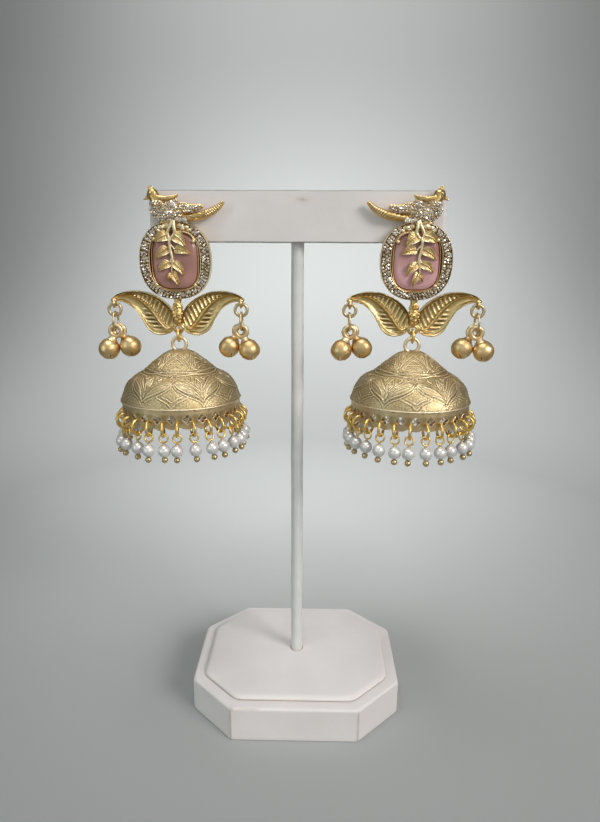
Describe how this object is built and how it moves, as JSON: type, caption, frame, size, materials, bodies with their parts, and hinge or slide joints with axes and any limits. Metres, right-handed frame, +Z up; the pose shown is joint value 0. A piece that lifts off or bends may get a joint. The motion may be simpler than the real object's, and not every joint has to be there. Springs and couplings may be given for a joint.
{
  "type": "pair of jhumka earrings on a t-bar display stand",
  "caption": "Gold-tone bird and leaf stud earrings with hollow bell drops, fringe and ball charms, hung on a padded T-bar stand.",
  "frame": {"origin": "middle of the plinth's underside, the face that the stand rests on", "axes": "+Z up along the pole, front of the earrings towards -Y, cross bar along X"},
  "size_m": [0.1381, 0.067, 0.194],
  "materials": {
    "leatherette": "matt off-white leatherette with fine grain",
    "pole_paint": "satin off-white paint",
    "cast_gold": "polished antique gold plate",
    "wire_gold": "bright gold plated wire",
    "matte_gold": "matt pale antique gold plate",
    "rose_stone": "frosted dusty mauve stone",
    "pearl": "lustrous white pearl"
  },
  "bodies": {
    "root": {"base_plinth": "leatherette", "base_pad": "leatherette", "pole": "pole_paint", "cross_bar": "leatherette", "left_stud": "cast_gold", "left_stone": "rose_stone", "left_outer_ring": "wire_gold", "left_outer_link": "wire_gold", "left_outer_ball_front": "cast_gold", "left_outer_ball_back": "cast_gold", "left_inner_ring": "wire_gold", "left_inner_link": "wire_gold", "left_inner_ball_front": "cast_gold", "left_inner_ball_back": "cast_gold", "right_stud": "cast_gold", "right_stone": "rose_stone", "right_outer_ring": "wire_gold", "right_outer_link": "wire_gold", "right_outer_ball_front": "cast_gold", "right_outer_ball_back": "cast_gold", "right_inner_ring": "wire_gold", "right_inner_link": "wire_gold", "right_inner_ball_front": "cast_gold", "right_inner_ball_back": "cast_gold"},
    "left_link": {"left_drop_link": "wire_gold"},
    "left_bell": {"left_bell": "matte_gold", "left_fringe": "matte_gold"},
    "right_link": {"right_drop_link": "wire_gold"},
    "right_bell": {"right_bell": "matte_gold", "right_fringe": "matte_gold"}
  },
  "joints": [
    {"name": "left_link_swing", "type": "hinge", "parent": "root", "child": "left_link", "pos_m": [-0.0412, -0.008, 0.14705], "axis": [0, 1, 0], "range_deg": [-12, 12]},
    {"name": "left_bell_swing", "type": "hinge", "parent": "left_link", "child": "left_bell", "pos_m": [-0.0412, -0.008, 0.1442], "axis": [1, 0, 0], "range_deg": [-20, 20]},
    {"name": "right_link_swing", "type": "hinge", "parent": "root", "child": "right_link", "pos_m": [0.0401, -0.008, 0.14705], "axis": [0, 1, 0], "range_deg": [-12, 12]},
    {"name": "right_bell_swing", "type": "hinge", "parent": "right_link", "child": "right_bell", "pos_m": [0.0401, -0.008, 0.1442], "axis": [1, 0, 0], "range_deg": [-20, 20]}
  ]
}
